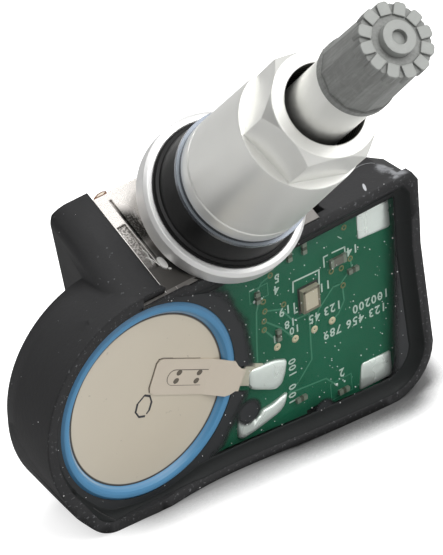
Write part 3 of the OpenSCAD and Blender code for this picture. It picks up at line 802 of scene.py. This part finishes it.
def settle_sides(bm):
    """Gives the upright faces, which come in any order, the same order each run. The flat ones stay."""
    bm.faces.index_update()
    sides = [f for f in bm.faces if len({round(v.co.z, 3) for v in f.verts}) > 1]
    first = min(f.index for f in sides)
    sides.sort(key=lambda f: tuple(f.calc_center_median()))
    order = {f: first + i / len(sides) for i, f in enumerate(sides)}
    bm.faces.sort(key=lambda f: order.get(f, f.index))


def potting_skin():
    """The potting's top face as a thin clear skin, so that the board shows. Returns its outline."""
    bm = copy_of("potting", FLAT, 1e-7)
    off = [f for f in bm.faces if any(abs(v.co.z - POTTING_TOP) > 0.01 for v in f.verts)]
    bmesh.ops.delete(bm, geom=off, context="FACES")
    wall = [v.co.copy() for v in outer_loop(bm)]
    raised = bmesh.ops.extrude_face_region(bm, geom=list(bm.faces))
    moved = [v for v in raised["geom"] if isinstance(v, bmesh.types.BMVert)]
    bmesh.ops.translate(bm, verts=moved, vec=(0, 0, -SKIN_T))
    settle_sides(bm)
    hollow_out(bm)
    piece("potting_skin", bm, FLAT, potting_clear, stands_for=("potting",))
    return wall


def edge_profile(rise):
    """Across the potting's edge: how far from the wall and how high, from the wall inwards."""
    steps = (0.02, 0.1, 0.2, 0.32, 0.46, 0.62, 0.8, 1.0)
    slope = [(EDGE_WIDE * t, rise * (1 - t) ** 2.2 + 0.015) for t in steps]
    return [(-0.05, -0.1), (-0.05, rise), *slope, (EDGE_WIDE, -0.1)]


def potting_edge(wall):
    """The dark edge where the potting climbs the wall. It dies out beside the cell."""
    points = []
    for a, b in zip(wall, wall[1:] + wall[:1]):
        steps = max(1, int((b - a).length / 0.7))
        points += [a.lerp(b, i / steps) for i in range(steps)]
    turning = sum(a.x * b.y - b.x * a.y for a, b in zip(points, points[1:] + points[:1]))
    inward = 1 if turning > 0 else -1
    bm = bmesh.new()
    rows = []
    for i, p in enumerate(points):
        ahead = (points[(i + 2) % len(points)] - points[i - 2]).normalized()
        side = Vector((-ahead.y, ahead.x, 0)) * inward
        share = min(1.0, max(0.0, (math.hypot(p.x, p.y) - 13.2) / 2.2)) if p.x < 22 else 1.0
        spread = 0.1 + 0.9 * share
        rows.append([bm.verts.new(p + side * wide * spread + Vector((0, 0, up)))
                     for wide, up in edge_profile(EDGE_RISE * share + 0.03)])
    for a, b in zip(rows, rows[1:] + rows[:1]):
        for k in range(len(a)):
            j = (k + 1) % len(a)
            bm.faces.new((a[k], b[k], b[j], a[j]))
    hollow_out(bm)
    piece("potting_edge", bm, FLAT, resin_dark, smooth=True)


def board_details():
    """Traces and printed outlines on the board."""
    bm = bmesh.new()
    for path in (
        [(17.6, 5.0), (17.0, 3.4), (16.7, -0.6), (16.5, -4.6)],
        [(18.2, 2.9), (20.6, 2.0), (22.2, -0.4), (24.6, -0.6), (24.5, -7.2), (22.3, -9.4), (20.6, -10.2)],
        [(18.0, 1.6), (20.4, -0.6), (22.3, -3.1)],
        [(31.2, 4.0), (31.4, 2.6), (29.5, 1.2), (28.4, 1.3), (26.0, -0.8), (25.2, -3.2)],
        [(29.8, 0.6), (29.9, -1.4), (28.9, -2.8), (27.9, -3.3)],
        [(20.2, -10.2), (26.4, -11.0), (27.9, -12.7)],
        [(19.4, 7.4), (18.0, 7.0), (16.9, 5.6)],
        [(17.9, 0.4), (19.2, -1.4), (19.6, -2.9)],
    ):
        stripe(bm, path, 0.22, BOARD, BOARD + 0.02)
    for outline in ([(16.2, 4.9), (18.9, 4.9), (18.9, 6.6), (16.2, 6.6)],
            [(27.0, -14.6), (30.2, -14.6), (30.2, -12.2), (27.0, -12.2)]):
        stripe(bm, outline + outline[:1], 0.12, BOARD, BOARD + 0.015)
    piece("board_traces", bm, FLAT, trace_green)

    bm = bmesh.new()
    for path, width in (
        ([(22.5, 3.5), (22.6, 4.9), (26.5, 4.7), (26.2, 0.3), (24.4, 0.35)], 0.2),
        ([(22.5, 1.9), (22.5, 0.5), (22.9, 0.5)], 0.2),
        ([(27.3, 4.7), (27.3, 6.1), (27.9, 6.1)], 0.18),
        ([(28.6, 6.1), (30.5, 6.0), (30.5, 4.6), (30.1, 4.6)], 0.18),
        ([(16.3, 6.7), (16.9, 6.7)], 0.15),
        ([(27.6, -12.4), (28.0, -12.9)], 0.15),
        ([(29.6, 7.9), (30.1, 7.4)], 0.1),
    ):
        stripe(bm, path, width, BOARD, BOARD + 0.03)
    piece("board_outlines", bm, FLAT, print_white)


def digits(text, u, v, size, turn):
    """A plain number as a flat mesh in the potted face's frame."""
    words = bpy.data.curves.new("digits", "FONT")
    words.body = text
    words.size = size
    words.align_x = "CENTER"
    words.align_y = "CENTER"
    words.resolution_u = 2
    words.space_character = 1.16
    words.extrude = 0.012
    words.offset = 0.025
    mesh = baked(new_object("digits", words))
    mesh.transform(Matrix.Translation((u, v, BOARD + 0.02)) @ Matrix.Rotation(math.radians(turn), 4, "Z"))
    return mesh


def board_numbers():
    """Plain numbers on the board."""
    bm = bmesh.new()
    for text, u, v, size, turn in (
        ("100200", 33.85, -3.35, 1.5, 180), ("123 456 789", 31.3, -5.0, 1.5, 178),
        ("123", 28.1, -1.5, 1.5, 180), ("45", 25.3, -1.5, 1.5, 180), ("14", 31.6, 5.1, 1.5, 180),
        ("11", 27.2, 2.1, 1.5, 180), ("5", 20.3, 6.6, 1.5, 180), ("4", 20.1, 5.1, 1.5, 180),
        ("19", 21.1, 1.6, 1.5, 180), ("18", 21.7, -0.5, 1.4, 180), ("10", 22.3, -1.7, 1.3, 180),
        ("11", 19.7, -1.6, 1.3, 180), ("100", 21.6, -6.9, 1.4, 90), ("0", 21.4, -9.6, 1.4, 90),
        ("10", 21.3, -11.2, 1.4, 90), ("2", 28.8, -11.3, 1.5, 180),
    ):
        bm.from_mesh(digits(text, u, v, size * 1.1, turn))
    piece("board_numbers", bm, FLAT, print_white)


def solder():
    """The two large pads and the joints of the cell's tabs, as smooth bright solder."""
    bm = bmesh.new()
    blob(bm, [(32.5, 9.6), (37.4, 9.5), (37.45, 5.6), (32.45, 6.05)], BOARD, 0.25, 1, 0.06)
    blob(bm, [(31.8, -11.6), (36.35, -11.85), (36.45, -15.5), (31.2, -15.3)], BOARD, 0.25, 1, 0.06)
    blob(bm, [(15.0, -4.0), (18.7, -4.25), (20.8, -5.1), (20.4, -6.8), (19.8, -8.1), (18.7, -8.6),
        (14.8, -6.6)], BOARD, 0.5, 2, 0.15)
    blob(bm, [(12.9, -9.8), (14.6, -10.75), (15.8, -10.85), (16.5, -10.3), (18.0, -10.25), (20.5, -9.7),
        (20.0, -11.2), (19.1, -11.9), (16.6, -12.4), (14.5, -12.8), (12.7, -12.9)], BOARD, 0.6, 1, 0.15)
    return piece("solder", bm, FLAT, solder_bright, stands_for=("solder_joints",), smooth=True)


def small_parts():
    """Ends of the coil part, the oscillator's dark seat and the tiny parts' dull ends."""
    bm = bmesh.new()
    for u in (28.05, 29.95):
        prism(bm, [(u, 4.2), (u + 0.45, 4.2), (u + 0.45, 5.35), (u, 5.35)], BOARD, BOARD + 0.43)
    for u, v, turn in SMALL_CHIPS:
        ahead = Vector((math.cos(math.radians(turn)), math.sin(math.radians(turn))))
        for end in (-0.5, 0.5):
            centre = Vector((u, v)) + ahead * end
            stripe(bm, [centre - ahead * 0.06, centre + ahead * 0.06], 0.62, BOARD, BOARD + 0.41)
    piece("part_ends", bm, FLAT, end_grey)
    bm = bmesh.new()
    prism(bm, [(28.1, 4.25), (30.35, 4.25), (30.35, 5.3), (28.1, 5.3)], BOARD, BOARD + 0.4)
    piece("coil_body", bm, FLAT, chip_grey, stands_for=("inductor",))
    bm = bmesh.new()
    for u, v, r in ((27.9, -12.65, 0.2), (29.1, -12.8, 0.14), (16.8, 5.0, 0.2), (17.5, 6.1, 0.17),
            (17.9, 4.9, 0.15)):
        blob(bm, oval(u, v, r, r * 0.8, 0.4, 8), BOARD, 0.12, 0)
    piece("solder_dots", bm, FLAT, solder_bright, smooth=True)
    bm = bmesh.new()
    prism(bm, [(23.1, -0.05), (26.15, -0.05), (26.15, 3.6), (23.1, 3.6)], BOARD, BOARD + 0.05)
    piece("oscillator_seat", bm, FLAT, chip_black)
    bm = bmesh.new()
    stripe(bm, [(23.57, 0.37), (25.73, 0.37), (25.73, 3.13), (23.57, 3.13), (23.57, 0.37)], 0.33,
        BOARD + 0.69, BOARD + 0.715)
    piece("oscillator_rim", bm, FLAT, can_rim)


def cell_marks():
    """The ring of ink on the cell, the marks of the tab's press and welds, and a painted shadow along the tab's
    edge.
    """
    bm = bmesh.new()
    ring = [(-0.2, 0.75), (0.5, 0.3), (0.65, -0.6), (0.2, -1.55), (-0.5, -2.05), (-1.3, -1.75),
            (-1.7, -0.9), (-1.3, 0.1)]
    for i, (a, b) in enumerate(zip(ring, ring[1:] + ring[:1])):
        a, b = Vector(a), Vector(b)
        line = [a.lerp(b, 0.06), a.lerp(b, 0.94 if i != 3 else 0.55)]
        stripe(bm, line, 0.2 if i % 2 else 0.27, CELL_FACE, CELL_FACE + 0.02)
    piece("ink_ring", bm, FLAT, ink_black)

    bm = bmesh.new()
    top = CELL_FACE + TAB_T
    around = [math.radians(90 - 15 * i) for i in range(13)]
    left = [(3.2 - 1.0 * math.cos(a), -0.2 + 0.98 * math.sin(a)) for a in around]
    stripe(bm, [(8.2, 0.78)] + left[:9], 0.1, top, top + 0.012)
    stripe(bm, left[8:] + [(7.6, -1.18)], 0.06, top, top + 0.012)
    stripe(bm, [(8.5, 0.72), (8.9, 0.4), (9.05, -0.1), (8.95, -0.6)], 0.06, top, top + 0.012)
    # Painted shadow: a dark line along the tab's edge, on the cell's face.
    for path, width in (([(2.2, 2.22), (0.75, 2.22), (0.2, 2.06), (-0.05, 1.55), (-0.05, -1.55), (0.2, -2.1)],
            0.1), ([(2.2, 2.2), (6.5, 2.2)], 0.05)):
        stripe(bm, path, width, CELL_FACE, CELL_FACE + 0.04)
    piece("tab_press", bm, TAB, tab_line)

    bm = bmesh.new()
    for x in (3.76, 6.9):
        for y in (-0.62, 0.42):
            prism(bm, oval(x + 0.12 * y, y, 0.42, 0.34, 0.6), top, top + 0.015)
    piece("spot_welds", bm, TAB, weld_brown)


def tab():
    """The positive tab: flat on the cell, then gently up over the sleeve's lip and down to the board."""
    side = [(0, CELL_FACE), (8.4, CELL_FACE), (11.3, 0.02), (13.3, 0.02), (14.6, BOARD + 0.02),
            (17.4, BOARD + 0.02)]
    wide = [(0.0, -1.5, 1.5), (0.25, -2.05, 2.0), (0.8, -2.35, 2.15), (11.4, -2.4, 2.1), (12.1, -2.2, 1.5),
            (12.8, -1.75, 1.1), (17.4, -1.75, 1.1)]
    cuts = sorted({x for x, _ in side} | {x for x, _, _ in wide})

    def at(x, rows, k):
        """The value of a column of rows at x."""
        for a, b in zip(rows, rows[1:]):
            if a[0] <= x <= b[0]:
                return a[k] + (b[k] - a[k]) * (x - a[0]) / (b[0] - a[0])
        return rows[-1][k]

    bm = bmesh.new()
    loops = []
    for x in cuts:
        z, low, high = at(x, side, 1), at(x, wide, 1), at(x, wide, 2)
        corners = ((low, z), (high, z), (high, z + TAB_T), (low, z + TAB_T))
        loops.append([bm.verts.new((x, y, up)) for y, up in corners])
    for a, b in zip(loops, loops[1:]):
        bridge(bm, a, b)
    bm.faces.new(loops[0])
    bm.faces.new(loops[-1][::-1])
    return piece("tab", bm, TAB, nickel, stands_for=("positive_tab",))


def bracket_trim():
    """The burr beside the bracket's pressed strip, its bright edges and the stained sliver at its back."""
    bm = bmesh.new()
    prism(bm, rounded([(5.1, 4.15), (5.7, 4.05), (5.88, 3.15), (5.75, 2.6), (5.45, 2.35), (5.0, 2.85)], 1),
        -0.05, 0.24)
    prism(bm, rounded([(5.62, 2.5), (5.95, 2.3), (5.95, 2.1), (5.62, 2.22)], 1), -0.05, 0.12)
    for path in ([(4.55, 5.9), (4.72, 5.2), (4.6, 4.5), (4.85, 3.9), (5.05, 3.2)],
            [(4.3, 4.9), (4.6, 4.35), (4.55, 3.8)]):
        stripe(bm, path, 0.07, -0.4, 0.02)
    stripe(bm, [(4.98, 7.4), (4.98, 3.2)], 0.05, -0.02, 0.03)
    stripe(bm, [(3.5, 9.85), (3.5, -0.1)], 0.06, -0.02, 0.02)
    piece("bracket_burr", bm, PLATE, burr_bright)
    bm = bmesh.new()
    prism(bm, [(3.6, 14.1), (3.75, 14.3), (4.4, 14.55), (5.1, 14.6), (5.6, 14.4), (5.45, 14.1)], -0.3, 0.02)
    piece("bracket_stain", bm, PLATE, rust_brown)
    bm = bmesh.new()
    prism(bm, [(4.0, 14.22), (4.5, 14.42), (5.1, 14.46), (5.3, 14.32), (5.0, 14.2)], -0.2, 0.035)
    piece("stain_middle", bm, PLATE, nickel)


def pin_spring():
    """The valve core's spring, drawn again in its place as a mesh of its own."""
    bm = copy_of("core_spring", VALVE)
    coil = piece("pin_spring", bm, VALVE, bright_edge, stands_for=("core_spring",))
    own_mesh(coil)


def housing_marks():
    """A pale scratch on the shelf and a dark nick in the rim's near foot."""
    shelf = FLAT @ Matrix.Translation((0, 13.4, 0)) @ Matrix.Rotation(math.radians(-90), 4, "X")
    bm = bmesh.new()
    stripe(bm, [(35.2, 4.4), (36.0, 4.45), (36.7, 4.3), (37.2, 4.0), (37.5, 3.6)], 0.09, -0.02, 0.015)
    stripe(bm, [(37.3, 2.2), (37.9, 1.9), (38.3, 1.2)], 0.12, -0.02, 0.015)
    piece("shelf_scratch", bm, shelf, scuff_pale)
    bm = bmesh.new()
    stripe(bm, NICK, 0.11, 0.7, 0.815)
    piece("rim_nick", bm, FLAT, seal_rubber)


def dust():
    """White grains on the potting's skin and on the housing, kept inside the part's box."""
    for name, density, radius, seed in (("potting_skin", 150000.0, 0.00008, 4),
            ("housing_shell", 18000.0, 0.00006, 9)):
        made = grown(bpy.data.objects[name].data.copy(), FLECKS, dust_white,
                     Density=density, Radius=radius, Seed=seed)
        for vert in made.vertices:
            vert.co = [min(max(c, low), high) for c, low, high in zip(vert.co, *cad_size)]
        mesh_piece(name.split("_")[0] + "_dust", made, dust_white)


housing_shell()
potting_edge(potting_skin())
board_details()
board_numbers()
rings("via_rings", VIAS, BOARD + 0.01, 0.3, 0.2, 0.03, via_copper)
rings("test_pads", TEST_PADS, BOARD + 0.015, 0.3, 0.42, 0.05, pad_gold)
solder()
small_parts()
cell_marks()
tab()
bracket_trim()
pin_spring()
housing_marks()
dust()


# Floor, light and camera

def floor_and_backdrop():
    """A pale floor that the camera sees as white, with a soft shadow in front of the part."""
    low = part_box("housing")[0].z
    made, tree, out = new_material("pale_floor")
    link = tree.links.new
    shader = add(tree, "ShaderNodeBsdfDiffuse")
    glow = add(tree, "ShaderNodeEmission", Color=(1, 1, 1, 1))
    path = add(tree, "ShaderNodeLightPath")
    near = add(tree, "ShaderNodeAmbientOcclusion", samples=16, Distance=0.009)
    place = add(tree, "ShaderNodeSeparateXYZ")
    link(add(tree, "ShaderNodeTexCoord").outputs["Object"], place.inputs[0])
    x = place.outputs["X"]
    reach = times(tree, ease(tree, x, -0.024, -0.012, 0.25, 1.0), ease(tree, x, -0.002, 0.024, 0.85, 1.3))
    shut = calc(tree, "MINIMUM", times(tree, fade(tree, near.outputs["AO"], 0.55, 1.0), reach), 1.0)
    open_share = calc(tree, "SUBTRACT", 1.0, shut)
    link(blend_color(tree, open_share, (0.15, 0.15, 0.15), (0.55, 0.55, 0.55)), shader.inputs["Color"])
    both = add(tree, "ShaderNodeAddShader")
    link(times(tree, path.outputs["Is Camera Ray"], open_share), glow.inputs["Strength"])
    link(shader.outputs["BSDF"], both.inputs[0])
    link(glow.outputs["Emission"], both.inputs[1])
    link(both.outputs["Shader"], out.inputs["Surface"])
    mesh = bpy.data.meshes.new("floor")
    mesh.from_pydata([(-3, -3, low), (3, -3, low), (3, 3, low), (-3, 3, low)], [], [(0, 1, 2, 3)])
    mesh.materials.append(made)
    floor = new_object("floor", mesh)


def set_world(low, high):
    """A pale surround, brighter above and to the right, which the camera sees as pure white."""
    world = bpy.data.worlds.new("world")
    world.use_nodes = True
    tree = world.node_tree
    tree.nodes.clear()
    out = add(tree, "ShaderNodeOutputWorld")
    sky = add(tree, "ShaderNodeBackground", Color=(1, 1, 1, 1))
    coords = add(tree, "ShaderNodeTexCoord")
    lean = add(tree, "ShaderNodeVectorMath", operation="DOT_PRODUCT")
    lean.inputs[1].default_value = Vector((0.55, -0.25, 0.8)).normalized()
    tree.links.new(coords.outputs["Generated"], lean.inputs[0])
    tree.links.new(ease(tree, lean.outputs["Value"], -0.5, 0.7, low, high), sky.inputs["Strength"])
    white = add(tree, "ShaderNodeBackground", Color=(1, 1, 1, 1), Strength=1.0)
    seen = add(tree, "ShaderNodeLightPath").outputs["Is Camera Ray"]
    mix = mix_shaders(tree, seen, sky.outputs["Background"], white.outputs["Background"])
    tree.links.new(mix, out.inputs["Surface"])
    bpy.context.scene.world = world


def area_light(name, at, aim, size, power):
    """A soft square light that shines from one point to another."""
    data = bpy.data.lights.new(name, "AREA")
    data.shape = "RECTANGLE"
    data.size, data.size_y = size
    data.energy = power
    lamp = new_object(name, data)
    lamp.location = at
    lamp.rotation_euler = (Vector(aim) - Vector(at)).to_track_quat("-Z", "Y").to_euler()


def set_camera():
    """The photograph's camera, fitted to the rings of the cell and the valve."""
    data = bpy.data.cameras.new("camera")
    data.sensor_fit = "HORIZONTAL"
    data.sensor_width = 36
    data.lens = 326.3
    data.clip_end = 20
    camera = new_object("camera", data)
    right = Vector((0.783495, -0.621301, -0.010985))
    up = Vector((0.337235, 0.410291, 0.84731))
    back = Vector((-0.521927, -0.667568, 0.530985))
    turn = Matrix((right, up, back)).transposed().to_4x4()
    camera.matrix_world = Matrix.Translation((-0.240737, -0.30391, 0.229895)) @ turn
    bpy.context.scene.camera = camera


floor_and_backdrop()
area_light("key", (0.08, -0.45, 0.8), (0, 0, 0), (0.6, 0.5), 3.55)
area_light("fill", (0.6, -0.5, 0.5), (0, 0, 0), (0.7, 0.7), 1.4)
area_light("top", (0.05, 0.3, 0.8), (0, 0, 0), (0.8, 0.6), 3.0)
set_camera()
set_world(0.08, 0.86)

scene = bpy.context.scene
scene.render.resolution_x = 443
scene.render.resolution_y = 555
scene.view_settings.view_transform = "Standard"
